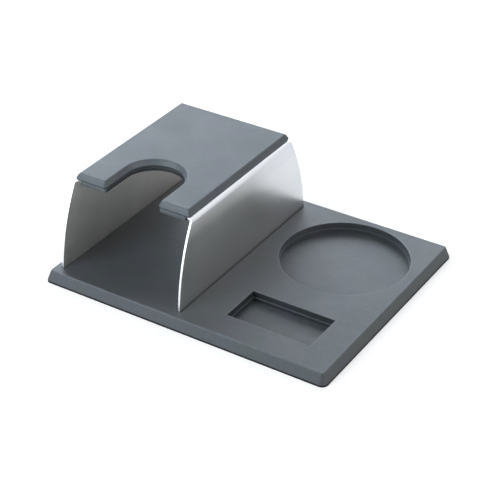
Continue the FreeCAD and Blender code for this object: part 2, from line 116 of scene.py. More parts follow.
# %% [markdown]
# ## Node sums in plain Python
#
# A material is a graph of nodes, and so is a Geometry Nodes recipe. A graph of Math nodes is slow
# to read. The class below wraps one output socket of a node. Adding or multiplying two of them
# adds the Math node that does it, so a mask is written as `1 - edge` and the graph builds itself.
# Two kinds of graph share the one method that adds a node: a finish, which ends in a shader, and
# a recipe, which ends in a mesh.

# %% A socket that can be used in a formula
class Signal:
    """One output of a node, with the operators that build Math nodes."""

    def __init__(self, graph, socket):
        self.graph = graph
        self.socket = socket

    def other_output(self, name):
        """Another output of the same node."""
        return Signal(self.graph, self.socket.node.outputs[name])

    def maths(self, operation, *values):
        """A Math node on the given values, which are signals or numbers."""
        return self.graph.node("ShaderNodeMath", {"operation": operation}, dict(enumerate(values)))

    def __add__(self, other):
        return self.maths("ADD", self, other)

    def __radd__(self, other):
        return self.maths("ADD", other, self)

    def __sub__(self, other):
        return self.maths("SUBTRACT", self, other)

    def __rsub__(self, other):
        return self.maths("SUBTRACT", other, self)

    def __mul__(self, other):
        return self.maths("MULTIPLY", self, other)

    def __rmul__(self, other):
        return self.maths("MULTIPLY", other, self)

    def __abs__(self):
        return self.maths("ABSOLUTE", self)

    def at_least(self, other):
        return self.maths("MAXIMUM", self, other)

    def root(self):
        return self.maths("SQRT", self)

    def sign(self):
        return self.maths("SIGN", self)

    def ramp(self, start, end, low=0.0, high=1.0):
        """Go smoothly from low to high while this goes from start to end."""
        return self.graph.node("ShaderNodeMapRange", {"interpolation_type": "SMOOTHSTEP"}, {
            "Value": self, "From Min": start, "From Max": end, "To Min": low, "To Max": high})

    def band(self, start, full, fading, end):
        """1 from full to fading, and smoothly less outside, down to 0 at start and end."""
        return self.ramp(start, full) * (1 - self.ramp(fading, end))


# %% What materials and recipes have in common
class Graph:
    """A node tree, and the one method that adds any node to it."""

    def node(self, kind, settings=None, sockets=None, output=0):
        """Add a node: first its settings, then the value or the signals of each socket."""
        made = self.tree.nodes.new(kind)
        for key, value in (settings or {}).items():
            setattr(made, key, value)
        for key, value in (sockets or {}).items():
            if isinstance(value, Signal):
                self.tree.links.new(value.socket, made.inputs[key])
            elif isinstance(value, list):
                for signal in value:
                    self.tree.links.new(signal.socket, made.inputs[key])
            else:
                made.inputs[key].default_value = value
        return Signal(self, made.outputs[output])

    def axes(self, vector):
        """The three parts of a vector."""
        split = self.node("ShaderNodeSeparateXYZ", sockets={"Vector": vector})
        return [split.other_output(axis) for axis in ("X", "Y", "Z")]

    def vector(self, x, y, z):
        """A vector from its three parts."""
        return self.node("ShaderNodeCombineXYZ", sockets={"X": x, "Y": y, "Z": z})


# %% A finish, which is a material or the world being built
def rgb(red, green, blue):
    """A linear colour with full opacity."""
    return (red, green, blue, 1.0)


class Finish(Graph):
    """The nodes of a material, or of the world."""

    def __init__(self, wearer, ending="ShaderNodeOutputMaterial"):
        self.wearer = wearer
        self.ending = ending
        wearer.use_nodes = True
        self.tree = wearer.node_tree
        self.tree.nodes.clear()

    def close(self, shader):
        """Lead a shader to the output, and return the finished material or world."""
        output = self.tree.nodes.new(self.ending)
        self.tree.links.new(shader.socket, output.inputs["Surface"])
        return self.wearer

    def place(self):
        """The object's own coordinates, in metres."""
        return self.node("ShaderNodeTexCoord", output="Object")

    def ray(self, kind):
        """1 for what a ray of one kind sees: Camera, Glossy or Transmission."""
        return self.node("ShaderNodeLightPath", output="Is %s Ray" % kind)

    def stretch(self, vector, x, y, z):
        """The same coordinates, scaled along each axis."""
        return self.node("ShaderNodeVectorMath", {"operation": "MULTIPLY"},
                         {0: vector, 1: (x, y, z)})

    def attribute(self, name):
        """A number kept on the points of the piece."""
        return self.node("ShaderNodeAttribute", {"attribute_name": name}, output="Fac")

    def stripe(self, distance, half):
        """1 where a distance is near zero, fading out at half the width of the stripe."""
        return 1 - abs(distance).ramp(0.35 * half, half)

    def noise(self, vector, scale, detail=2.0, roughness=0.5):
        """Smooth random values round 0.5, with as many waves to the metre as scale says."""
        return self.node("ShaderNodeTexNoise", sockets={
            "Vector": vector, "Scale": scale, "Detail": detail, "Roughness": roughness})

    def mix(self, factor, first, second):
        """Blend two colours."""
        made = self.tree.nodes.new("ShaderNodeMix")
        made.data_type = "RGBA"
        for key, value in (("Factor_Float", factor), ("A_Color", first), ("B_Color", second)):
            socket = next(s for s in made.inputs if s.identifier == key)
            if isinstance(value, Signal):
                self.tree.links.new(value.socket, socket)
            else:
                socket.default_value = value
        return Signal(self, next(s for s in made.outputs if s.identifier == "Result_Color"))

    def times(self, colour, factor):
        """A colour made lighter or darker by a signal."""
        return self.node("ShaderNodeVectorMath", {"operation": "SCALE"},
                         {0: colour, "Scale": factor})

    def bump(self, height, distance):
        """Turn heights into a bumpy surface normal. Where they are 1, it is that many metres."""
        return self.node("ShaderNodeBump", sockets={
            "Height": height, "Distance": distance, "Strength": 1.0})

    def surface(self, painted_shade=None, **sockets):
        """Close the material with a Principled shader. Numbers are set on its own sockets.

        Where the signal painted_shade is 1, a dull dark sheet of painted shade hides the shader."""
        named = {key.replace("_", " "): value for key, value in sockets.items()}
        skin = self.node("ShaderNodeBsdfPrincipled", sockets=named)
        if painted_shade is None:
            return self.close(skin)
        # Painted shade: a near-black dull sheet laid over the skin in contact shadows and deep
        # shade
        shade_paint = self.node("ShaderNodeBsdfDiffuse", sockets={"Color": rgb(0.012, 0.012, 0.012)})
        return self.close(self.node("ShaderNodeMixShader", sockets={0: painted_shade, 1: skin, 2: shade_paint}))


# %% A recipe, which is one Geometry Nodes tree being built
class Recipe(Graph):
    """A Geometry Nodes tree with named inputs."""

    def __init__(self, name, **inputs):
        self.tree = bpy.data.node_groups.new(name, "GeometryNodeTree")
        self.values = {label.replace("_", " "): value for label, value in inputs.items()}
        sockets = self.tree.interface
        sockets.new_socket("Geometry", in_out="INPUT", socket_type="NodeSocketGeometry")
        sockets.new_socket("Geometry", in_out="OUTPUT", socket_type="NodeSocketGeometry")
        for label in self.values:
            sockets.new_socket(label, in_out="INPUT", socket_type="NodeSocketFloat")
        start = self.tree.nodes.new("NodeGroupInput")
        self.given = {socket.name: Signal(self, socket) for socket in start.outputs}

    def geometry(self, kind, settings=None, **sockets):
        """Add a Geometry node. Its sockets are named by words, with _ for a space."""
        named = {key.replace("_", " "): value for key, value in sockets.items()}
        return self.node("GeometryNode" + kind, settings, named)

    def bake(self, geometry, mesh, name):
        """Close the tree, run it on a mesh, and return the result as a plain piece."""
        end = self.tree.nodes.new("NodeGroupOutput")
        self.tree.links.new(geometry.socket, end.inputs["Geometry"])
        piece = bpy.data.objects.new(name, mesh)
        bpy.context.scene.collection.objects.link(piece)
        modifier = piece.modifiers.new(self.tree.name, "NODES")
        modifier.node_group = self.tree
        for item in self.tree.interface.items_tree:
            if item.item_type == "SOCKET" and item.in_out == "INPUT" and item.name in self.values:
                modifier[item.identifier] = self.values[item.name]
        evaluated = piece.evaluated_get(bpy.context.evaluated_depsgraph_get())
        result = bpy.data.meshes.new_from_object(evaluated)
        result.name = name
        # The line that went in had no material, which leaves an empty slot that no face uses
        if result.materials[0] is None and all(face.material_index for face in result.polygons):
            result.materials.pop(index=0)
        piece.modifiers.clear()
        piece.data = result
        return piece


# %% [markdown]
# ## The camera
#
# The photograph was taken with a long lens from the front right, looking down by about a third
# of a right angle. The edges of the mat run to clear vanishing points, and those give the lens
# and the place of the camera.

# %% Camera
turn, tilt = math.radians(32.65), math.radians(32.61)
lens = bpy.data.cameras.new("camera")
lens.lens, lens.sensor_width = 113.03, 36.0
lens.clip_start, lens.clip_end = 0.05, 20.0
camera = bpy.data.objects.new("camera", lens)
camera.location = (0.52464, -0.83445, 0.65727)
camera.rotation_euler = Euler((math.pi / 2 - tilt, 0.0, turn))
bpy.context.scene.collection.objects.link(camera)
bpy.context.scene.camera = camera
print("camera: %.0f mm lens, %.2f m from the mat" % (lens.lens, camera.location.length))

# %% [markdown]
# ## Where highlights and shade are painted on the rubber
#
# Light catches the rounded rims, corners and ledges of moulded rubber, little light comes down the
# walls of a recess, and a contact shadow falls along a seam, at the foot of a side and low in the
# pad's U. These highlights and this shade are painted into the rubber's colour. Such places could
# be painted by hand, but they all follow edges, so each is worked out from its distance to one. A
# `stripe` is 1 on an edge and fades beside it, and a `band` is 1 between two levels. Each function
# gives two signals: a level, which is 1 on plain rubber and carries the painted highlights and the
# shade of the recess walls, and the painted shade that covers the rubber with a dark sheet.

# %% How strong the painted highlights and the painted shade are, as shares
rim_highlight, corner_highlight, ledge_highlight = 0.42, 0.25, 0.65
pad_edge_highlight, pad_front_highlight, slot_wall_highlight = 0.20, 0.55, 0.35
tray_shade, dish_shade = 0.58, 0.05
skirt_shadow, seam_shadow, slot_shade, contact_shadow = 0.85, 0.45, 0.60, 0.55
print("rims are rubbed paler by up to %.0f %%" % (100 * rim_highlight))


def highlight_patches(finish, place):
    """How strong a painted highlight along an edge is, from half to full strength, in patches of a
    centimetre.
    """
    return finish.noise(place, 90.0, 3.0, 0.6).ramp(0.35, 0.6, 0.5, 1.0)


# %% Where the mat's highlights and shade are painted
def mat_shading(finish, place):
    """Painted highlight on rims, corners and ledges, painted shade on walls, skirt and seams."""
    x, y, z = finish.axes(place)
    across, along = x - recess_x, y - dish_y
    from_dish = (across * across + along * along).root() - dish_radius
    from_tray = (abs(across) - tray_half_x).at_least(abs(y - tray_y) - tray_half_y)
    from_flat = (abs(x) - flat_half_x).at_least(abs(y) - flat_half_y)

    # Painted highlight in patches: the recesses' rims, the edge of the flat top, and the upright
    # corners
    rims = finish.stripe(from_dish - 0.0006, 0.0011)
    rims = rims.at_least(finish.stripe(from_tray - 0.0006, 0.0010))
    rims = rims.at_least(1.5 * finish.stripe(from_flat + 0.0001, 0.0015))
    rims = rims * z.ramp(mat_top - 0.0012, mat_top - 0.0004)
    flat_corner = flat_half_x + flat_half_y
    corners = (abs(x) + abs(y)).ramp(flat_corner + 0.0025, flat_corner + 0.0045)
    rubbed = (rim_highlight * rims + corner_highlight * corners) * highlight_patches(finish, place)

    # Painted shade on the walls of the recesses, except for the painted highlight on their ledge
    in_dish, in_tray = 1 - from_dish.ramp(0.0003, 0.0006), 1 - from_tray.ramp(0.0003, 0.0006)
    ledge = finish.stripe(z - ledge_level, 0.0005) * in_dish.at_least(in_tray)
    walls = z.band(recess_floor + 0.0001, recess_floor + 0.0005,
                   mat_top - 0.0007, mat_top - 0.0001)
    shade = (tray_shade * in_tray + dish_shade * in_dish) * walls * (1 - ledge)

    # Painted contact shadow: the upright skirt at the floor, and the seams along the bridge's walls
    skirt = (1 - z.ramp(0.0010, 0.0021)) * from_flat.ramp(0.0000, 0.0010)
    seams = finish.stripe(abs(x - middle.x) - foot_half, 0.0016)
    seams = seams * (1 - abs(y).ramp(wall_half_length - 0.0005, wall_half_length + 0.0005))
    seams = seams * z.ramp(mat_top - 0.0010, mat_top - 0.0002)
    painted_shade = (skirt_shadow * skirt).at_least(seam_shadow * seams)
    return (1 + rubbed + ledge_highlight * ledge) * (1 - shade), painted_shade


# %% Where the pad's highlights and shade are painted
def pad_shading(finish, place):
    """Painted highlight on edges, front and U wall, painted shade low in the U and by the steel."""
    x, y, z = finish.axes(place)
    from_middle = abs(x - middle.x)
    # Painted highlight along the rounded edges, as strong as each section point gives, and atop the
    # front
    front = 1 - y.ramp(pad_front + 0.0002, pad_front + 0.0034)
    front = front * z.ramp(pad_top - 0.0020, pad_top - 0.0005)
    edges = finish.attribute("rubbed")
    rubbed = (pad_edge_highlight * edges + pad_front_highlight * front) * highlight_patches(finish, place)

    # Painted highlight on the upper wall of the U, and painted shade on its lip low down
    in_slot = 1 - from_middle.ramp(slot_half + 0.0012, slot_half + 0.0022)
    in_slot = in_slot * y.ramp(pad_front + 0.0016, pad_front + 0.0036)
    wall = in_slot * z.band(plate_level, plate_level + 0.0025, pad_top - 0.0018, pad_top - 0.0008)
    under = in_slot * (1 - z.ramp(plate_level - 0.0017, plate_level + 0.0012))
    # Painted contact shadow low on the outer sides, where the pad meets the steel
    contact = from_middle.ramp(pad_half - 0.0019, pad_half - 0.0009)
    contact = contact * (1 - z.ramp(plate_level + 0.0002, plate_level + 0.0016))
    painted_shade = (slot_shade * under).at_least(contact_shadow * contact)
    return 1 + rubbed + slot_wall_highlight * wall, painted_shade


# %% [markdown]
# ## Rubber
#
# Both rubber pieces are moulded in a dark blue grey with a satin skin. A mould leaves a very
# fine grain, and the skin isn't equally dull everywhere, which shows as faint clouds where light
# glances off it. The tint isn't even either: it drifts between green and blue in patches as
# large as a thumb, and use leaves pale scuffs. A picture of rubber could show that, but it would
# blur close up and repeat. Five noises of different sizes do neither, and the shading function
# of each piece, from above, says where painted highlights and painted shade go on its rubber.

# %% Rubber finish
def rubber(name, colour, roughness, shading):
    """Moulded satin rubber, with the painted highlights and shade its shading function gives."""
    finish = Finish(bpy.data.materials.new(name))
    place = finish.place()
    grain = finish.noise(place, 1900.0, 2.0, 0.6)
    mottle = finish.noise(place, 260.0, 3.0, 0.55)
    clouds = finish.noise(place, 24.0, 3.0, 0.5)
    patches = finish.noise(finish.stretch(place, 1.0, -1.0, 1.0), 38.0, 2.0, 0.5)
    scuffs = finish.noise(finish.stretch(place, 3.0, 22.0, 3.0), 55.0, 2.0, 0.5)
    level, painted_shade = shading(finish, place)

    greenish, bluish = (0.95, 1.01, 0.97), (1.02, 0.99, 1.08)
    green, blue = [rgb(*[part * more for part, more in zip(colour, tint)])
                   for tint in (greenish, bluish)]
    tone = finish.times(finish.mix(patches.ramp(0.38, 0.62), green, blue), level * (
        1 + 0.42 * (clouds - 0.5) + 0.46 * (mottle - 0.5) + 0.16 * scuffs.ramp(0.62, 0.74)))
    dullness = roughness + 0.20 * (mottle - 0.5) + 0.20 * (clouds - 0.5)
    return finish.surface(painted_shade, Base_Color=tone, Roughness=dullness, IOR=1.5,
                          Normal=finish.bump(grain + 3.0 * mottle, 0.00005))


mat_rubber = rubber("mat_rubber", (0.060, 0.066, 0.070), 0.47, mat_shading)
pad_rubber = rubber("pad_rubber", (0.077, 0.086, 0.093), 0.50, pad_shading)
print("rubber finishes:", mat_rubber.name, pad_rubber.name)

# %% [markdown]
# ## Brushed steel
#
# The sheet is brushed in one direction before it is folded, so the lines run along the folds.
# They are finer than a pixel of the photograph and show only as a faint streak here and there.
# What follows the surface is the way from one foot over the top to the other, so the noise reads
# that way, `|x| - z`, and the place along the fold, but nothing across the sheet. The wall is
# duller near the bend, where the press has pulled the skin. Its lower front part, below a slanting
# line, is painted a little lighter and warmer: a painted reflection of the mat that it mirrors
# there. The inside is left as it comes from the mill, and the cut edges are ground bright.

# %% Steel finishes
def sheet_finish(name, colour, reflection_tint, roughness, brushing, blotches=0.10):
    """Stainless steel with fine lines along Y, and a painted reflection low on the walls."""
    finish = Finish(bpy.data.materials.new(name))
    place = finish.place()
    x, y, z = finish.axes(place)
    way = abs(x - middle.x) - z
    lines = finish.noise(finish.vector(6000 * way, 14 * y, 0.0), 1.0, 1.0, 0.5)
    bands = finish.noise(finish.vector(900 * way, 6 * y, 0.0), 1.0, 2.0, 0.6)
    clouds = finish.noise(place, 34.0, 3.0, 0.55)

    # Painted reflection: a warmer tint, ending along a slanting, uneven line and below the bend
    slant = y + 1.3 * z + 0.03 * (clouds - 0.5)
    painted_reflection = (1 - slant.ramp(0.065, 0.130)) * (
        1 - z.ramp(plate_level - 0.010, plate_level - 0.002))
    streaks = brushing * (0.24 * (bands - 0.5) + 0.12 * (lines - 0.5))
    tone = finish.times(finish.mix(painted_reflection, rgb(*colour), rgb(*reflection_tint)),
                        1 + streaks + blotches * (clouds - 0.5))
    near_bend = z.ramp(plate_level - 0.022, plate_level - 0.003)
    dullness = (roughness + 0.10 * brushing * (bands - 0.5) + 0.06 * (clouds - 0.5)
                + 0.13 * near_bend)
    return finish.surface(Base_Color=tone, Metallic=1.0, Roughness=dullness,
                          Normal=finish.bump(lines, 0.000002 * brushing))


brushed_steel = sheet_finish("brushed_steel", (0.73, 0.74, 0.77), (0.77, 0.77, 0.75), 0.32, 0.6)
mill_steel = sheet_finish("mill_steel", (0.71, 0.69, 0.67), (0.70, 0.69, 0.66), 0.50, 0.4, 0.30)
ground_edge = sheet_finish("ground_edge", (0.86, 0.86, 0.86), (0.86, 0.86, 0.86), 0.35, 0.3)
print("steel finishes:", brushed_steel.name, mill_steel.name, ground_edge.name)

# %% [markdown]
# ## The bridge, a sheet that follows rules
#
# The bridge is one sheet of steel, folded four times, and its walls end in curved edges. It
# could be copied from the measured part, but that copy is a net of loose triangles, without a
# finish of its own on the cut edges. So it is made again by Geometry Nodes, the way a workshop
# makes it: draw the fold line from the front, round its corners to the bend radius, stretch it
# from front to back, pull both ends to the curve of the walls, and give it its thickness.
#
# The curve is one rule. Both ends of the sheet lie on circles round a line at floor level, so
# a point at height z is `sqrt(arc * arc - z * z) - centre` from the middle. A second rule
# rounds the corners of the turned-in feet.

# %% Sizes of the sheet, in metres
foot_level, sheet_thick, bend_radius = 0.0006, 0.0018, 0.0036
toe_half, toe_round = 0.0336, 0.0050
edge_arc = 0.165
arc_centre = math.sqrt(edge_arc ** 2 - mat_top ** 2) - wall_half_length
shoulder_half_length = math.sqrt(edge_arc ** 2 - plate_level ** 2) - arc_centre
pad_half_length = shoulder_half_length + 0.0008
slot_centre = 0.0281 - pad_half_length
plate_setback, notch_half = 0.0022, 0.0502
print("the walls end %.1f mm from the middle at the floor and %.1f mm at the top" % (
    1000 * (edge_arc - arc_centre), 1000 * shoulder_half_length))


# %% The fold line, seen from the front
def fold_line():
    """The line from one toe to the other, with points on the walls for their curved edges.

    Near a corner the wall has no points, which leaves the rounding its room."""
    toe = [(toe_half + toe_round * share, foot_level)
           for share in (0, 0.03, 0.12, 0.26, 0.45, 0.7, 1.0)]
    up_the_wall = [step / 24 for step in range(25)]
    wall = [(foot_half + (shoulder_half - foot_half) * share,
             foot_level + (plate_level - foot_level) * share)
            for share in up_the_wall if share in (0, 1) or 0.09 < share < 0.93]
    line = [(-x, z) for x, z in toe + wall] + [(x, z) for x, z in reversed(toe + wall)]
    mesh = bpy.data.meshes.new("fold_line")
    mesh.from_pydata([(x, 0, z) for x, z in line], [(i, i + 1) for i in range(len(line) - 1)], [])
    return mesh


fold = fold_line()
print("fold line: %d points" % len(fold.vertices))

# %% Round the corners and stretch the line from front to back
recipe = Recipe("folded_sheet", Thickness=sheet_thick, Bend_Radius=bend_radius, Edge_Arc=edge_arc,
                Arc_Centre=arc_centre, Toe_Half=toe_half, Toe_Round=toe_round,
                Plate_Level=plate_level, Plate_Half=pad_half_length - plate_setback,
                Notch_Half=notch_half, Slot_Half=slot_half + plate_setback, Slot_Centre=slot_centre)
given = recipe.given
same_place = 0.00001
curve = recipe.geometry("MeshToCurve", Mesh=given["Geometry"])
rounded = recipe.geometry("FilletCurve", {"mode": "POLY"}, Curve=curve,
                          Radius=given["Bend Radius"], Count=10, Limit_Radius=False)
wire = recipe.geometry("MergeByDistance", Distance=same_place,
                       Geometry=recipe.geometry("CurveToMesh", Curve=rounded))
front_wire = recipe.geometry("SetPosition", Geometry=wire, Offset=(0, -1, 0))
flat = recipe.geometry("ExtrudeMesh", {"mode": "EDGES"}, Mesh=front_wire,
                       Offset=recipe.vector(0.0, 2.0, 0.0))
print("recipe:", recipe.tree.name, "with inputs", list(recipe.values))

# %% Pull both ends to the curve of the walls, and round the corners of the toes
x, y, z = recipe.axes(recipe.geometry("InputPosition"))
reach = (given["Edge Arc"] * given["Edge Arc"] - z * z).root() - given["Arc Centre"]
radius = given["Toe Round"]
to_go = (radius - (abs(x) - given["Toe Half"])).at_least(0.0)
round_off = radius - (radius * radius - to_go * to_go).at_least(0.0).root()
ends = y.sign() * (reach - round_off)
skin = recipe.geometry("FlipFaces", Mesh=recipe.geometry(
    "SetPosition", Geometry=flat, Position=recipe.vector(x, ends, z)))
print("the recipe has %d nodes so far" % len(recipe.tree.nodes))

# %% Give the sheet its thickness inwards, each side with its own finish
outside = recipe.geometry("SetMaterial", Geometry=skin, Material=brushed_steel)
inner = recipe.geometry("ExtrudeMesh", {"mode": "FACES"}, Mesh=skin,
                        Offset_Scale=-1 * given["Thickness"], Individual=False)
dull = recipe.geometry("SetMaterial", Geometry=inner, Selection=inner.other_output("Top"),
                       Material=mill_steel)
rim = recipe.geometry("SetMaterial", Geometry=dull, Selection=inner.other_output("Side"),
                      Material=ground_edge)
both = recipe.geometry("JoinGeometry", Geometry=[outside, recipe.geometry("FlipFaces", Mesh=rim)])
sheet = recipe.geometry("MergeByDistance", Geometry=both, Distance=same_place)
print("the recipe has %d nodes so far" % len(recipe.tree.nodes))

# %% Cut the top plate's set-back edges and the U-shaped opening
cutter_height, past_the_sheet = 0.012, 0.1


def block(half_x, near_y, far_y):
    """A cutting block through the top plate."""
    size = recipe.vector(2 * half_x, far_y - near_y, cutter_height)
    place = recipe.vector(0.0, 0.5 * (near_y + far_y), given["Plate Level"])
    return recipe.geometry("Transform", Geometry=recipe.geometry("MeshCube", Size=size),
                           Translation=place)


drill = recipe.geometry("MeshCylinder", {"fill_type": "NGON"}, Vertices=96,
                        Radius=given["Slot Half"], Depth=cutter_height)
round_end = recipe.geometry("Transform", Geometry=drill, Translation=recipe.vector(
    0.0, given["Slot Centre"], given["Plate Level"]))
cutters = recipe.geometry("JoinGeometry", Geometry=[
    block(given["Notch Half"], -past_the_sheet, -1 * given["Plate Half"]),
    block(given["Notch Half"], given["Plate Half"], past_the_sheet),
    block(given["Slot Half"], -past_the_sheet, given["Slot Centre"]), round_end])
opened = recipe.geometry(
    "MeshBoolean", {"operation": "DIFFERENCE", "solver": "EXACT"}, Mesh_1=sheet,
    Mesh_2=recipe.geometry("SetMaterial", Geometry=cutters, Material=ground_edge),
    Self_Intersection=True)
print("cutters through the plate: three blocks and a drill of %.1f mm" % (
    2000 * (slot_half + plate_setback)))

# %% Stand the sheet on its place and run the recipe
standing = recipe.geometry("SetPosition", Geometry=opened, Offset=tuple(middle))
real = recipe.geometry("RealizeInstances", Geometry=standing)
done = recipe.geometry("SetMaterial", Geometry=real, Material=ground_edge,
                       Selection=recipe.geometry("MaterialSelection", Material=ground_edge))
bridge = recipe.bake(done, fold, "folded_bridge")


def corners_in_mm(piece):
    """The lowest and the highest corner of a piece, for printing."""
    points = [point.co for point in piece.data.vertices]
    return [in_mm(end(point[axis] for point in points) for axis in range(3))
            for end in (min, max)]


print("bridge: %d faces, finishes %s" % (
    len(bridge.data.polygons), [finish.name for finish in bridge.data.materials]))
print("bridge: from %s to %s mm" % tuple(corners_in_mm(bridge)))

# %% [markdown]
# ## Eased edges
#
# A cut edge of sheet is deburred before anyone touches it, and a bright line of light runs along
# it. A Bevel modifier rounds every edge that is sharper than a given angle. The same helper makes
# all faces point outwards and shades the gentle bends smoothly, which both new pieces need.

# %% Ease the edges of the bridge
def finish_edges(piece, angle, bevel_width=0.0):
    """Face outwards, shade smoothly up to an angle in degrees, and round the sharper edges."""
    mesh = bmesh.new()
    mesh.from_mesh(piece.data)
    bmesh.ops.recalc_face_normals(mesh, faces=mesh.faces)
    mesh.to_mesh(piece.data)
    mesh.free()
    piece.data.shade_smooth()
    piece.data.set_sharp_from_angle(angle=math.radians(angle))
    if bevel_width:
        bevel = piece.modifiers.new("eased_edges", "BEVEL")
        bevel.width, bevel.segments = bevel_width, 2
        bevel.limit_method, bevel.angle_limit = "ANGLE", math.radians(angle)
        bevel.use_clamp_overlap = False
        bevel.harden_normals = True


finish_edges(bridge, 40, 0.0002)
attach(bridge, "root")
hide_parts("steel_bridge")
print("%s: sharp edges are eased by %.1f mm" % (
    bridge.name, 1000 * bridge.modifiers["eased_edges"].width))

# %% [markdown]
# ## The pad, sections moved along an outline
#
# The pad is moulded rubber. It is a block with sloping sides above the steel, and a lip below
# that grips the edges of the steel at the front, at the back and round the U-shaped opening. One
# outline serves both. Each of its points is a function that says where the outline is when it has
# moved inwards by some distance, so any section can be drawn along it: a section is a list of
# distances inwards and heights. Round a corner the radius shrinks on the way in, as it does when
# a ball-nosed tool cuts the mould, so the corners are round at the widest line and crisp on top.

# %% Points that know the way inwards
least_round = 0.0003


def corner(x, y, start, inward, widest):
    """A quarter round inside the corner (x, y), anticlockwise from a start angle.

    Its radius is widest at the outline and least_round far inside."""
    def at_angle(angle):
        def moved(distance):
            radius = max(widest - distance, least_round)
            slide = widest + max(distance - widest + least_round, 0)
            return (x + radius * math.cos(angle) + slide * inward[0],
                    y + radius * math.sin(angle) + slide * inward[1])
        return moved
    return [at_angle(math.radians(start + 90 / 8 * step)) for step in range(9)]


def straight(x, y, across, along):
    """One point that moves inwards in a straight line."""
    return lambda distance: (x + distance * across, y + distance * along)


# %% The outline of the pad
outer_round, mouth_round = 0.0010, 0.0027
lip_half = shoulder_half - sheet_thick - 0.0046


def slot_side():
    """The front edge's two mouth corners, with the U between them."""
    points = corner(-slot_half, -pad_half_length, -90, (-1, 1), mouth_round)
    for step in range(61):
        angle = math.radians(3 * step)
        along, across = math.sin(angle), -math.cos(angle)
        points.append(straight(slot_half * across, slot_centre + slot_half * along, across, along))
    return points + corner(slot_half, -pad_half_length, 180, (1, 1), mouth_round)


pad_outline = (corner(-pad_half, -pad_half_length, 180, (1, 1), outer_round) + slot_side()
               + corner(pad_half, -pad_half_length, -90, (-1, 1), outer_round)
               + corner(pad_half, pad_half_length, 0, (-1, -1), outer_round)
               + corner(-pad_half, pad_half_length, 90, (1, -1), outer_round))
lip_front = ([straight(-lip_half, -pad_half_length, 0, 1)] + slot_side()
             + [straight(lip_half, -pad_half_length, 0, 1)])
lip_back = [straight(lip_half, pad_half_length, 0, -1), straight(-lip_half, pad_half_length, 0, -1)]
print("outline: %d points round the pad, %d along the front lip" % (
    len(pad_outline), len(lip_front)))


# %% Sections with rounded corners
def section(*corners):
    """A line through (inwards, height, radius, highlighted) corners, with sizes in mm.

    The last one says how strong the painted highlight on the rubber is there."""
    points = []
    for i, (inward, height, radius, rubbed) in enumerate(corners):
        here = Vector((inward, height)) / 1000
        if not radius:
            points.append((here.x, here.y, rubbed))
            continue
        before = Vector(corners[i - 1][:2]) / 1000 - here
        after = Vector(corners[(i + 1) % len(corners)][:2]) / 1000 - here
        before.normalize()
        after.normalize()
        reach = radius / 1000 / math.tan(before.angle(after) / 2)
        for step in range(7):
            share = step / 6
            one = here + before * reach * (1 - share)
            two = here + after * reach * share
            spot = one.lerp(two, share)
            points.append((spot.x, spot.y, rubbed))
    return points


# The last number of each corner is the strength of the painted highlight there
slope_section = section(
    (5.0, 85.8, 0, 0), (3.6, 85.8, 0, 0), (2.3, 85.8, 1.3, 1), (1.5, 84.4, 0, 0),
    (0.4, 82.5, 0, 0), (0, 81.7, 0.5, 1), (0.45, 80.4, 0, 0), (0.65, 80.0, 0, 0))
lip_section = section(
    (0.65, 80.0, 0, 0), (0.85, 79.4, 0.2, 0), (0.6, 78.9, 0.4, 0.7), (0.6, 76.2, 0.9, 0),
    (7.6, 76.2, 0, 0), (7.6, 78.2, 0, 0), (2.1, 78.2, 0, 0), (2.1, 80.0, 0, 0))
print("sections: %d and %d points" % (len(slope_section), len(lip_section)))


# %% Move the sections along the outline
def swept(mesh, outline, section_line, closed):
    """Faces between the section's copies, and the two caps that close the solid."""
    mark = mesh.verts.layers.float["rubbed"]
    rows = []
    for moved in outline:
        row = []
        for inward, height, rubbed in section_line:
            point = mesh.verts.new((*moved(inward), height))
            point[mark] = rubbed
            row.append(point)
        rows.append(row)
    count, width = len(rows), len(section_line)
    for i in range(count if closed else count - 1):
        for j in range(width - 1 if closed else width):
            here, there = rows[i], rows[(i + 1) % count]
            mesh.faces.new((here[j], there[j], there[(j + 1) % width], here[(j + 1) % width]))
    if closed:
        mesh.faces.new([row[0] for row in rows])
        mesh.faces.new([row[-1] for row in reversed(rows)])
    else:
        mesh.faces.new(rows[0])
        mesh.faces.new(list(reversed(rows[-1])))


def pad_mesh():
    """The block and the two lips, at their place on the bridge."""
    mesh = bmesh.new()
    mesh.verts.layers.float.new("rubbed")
    swept(mesh, pad_outline, slope_section, True)
    swept(mesh, lip_front, lip_section, False)
    swept(mesh, lip_back, lip_section, False)
    bmesh.ops.translate(mesh, verts=mesh.verts, vec=middle)
    data = bpy.data.meshes.new("rubber_pad")
    mesh.to_mesh(data)
    mesh.free()
    return data


pad = bpy.data.objects.new("rubber_pad", pad_mesh())
bpy.context.scene.collection.objects.link(pad)
pad.data.materials.append(pad_rubber)
finish_edges(pad, 40)
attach(pad, "root")
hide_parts("top_pad")
print("pad: %d faces" % len(pad.data.polygons))
print("pad: from %s to %s mm" % tuple(corners_in_mm(pad)))

# %% [markdown]
# ## The mat
#
# The measured mat already has its slopes, rims and ledges, so it stays as it is and only gets
# its rubber.

# %% Dress the mat
mat_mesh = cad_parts["base_mat"].data
mat_mesh.materials.clear()
mat_mesh.materials.append(mat_rubber)
print("base_mat wears", mat_rubber.name, "on", len(mat_mesh.polygons), "faces")

# %% [markdown]
# ## The floor
#
# A pale floor stands in for the studio table. The photograph's background is white, with a soft
# shadow along the mat. A floor that is lit up to white would need so much light that the steel
# would lose its greys. So the floor glows a little on top of the light that falls on it, and only
# to the camera and in reflections: it reads as white, the shadow still darkens it, and the glow
# doesn't light the object. Far from the object, where less light falls, the camera sees more glow.

# %% Floor
glow_starts, glow_ends = 0.35, 2.5


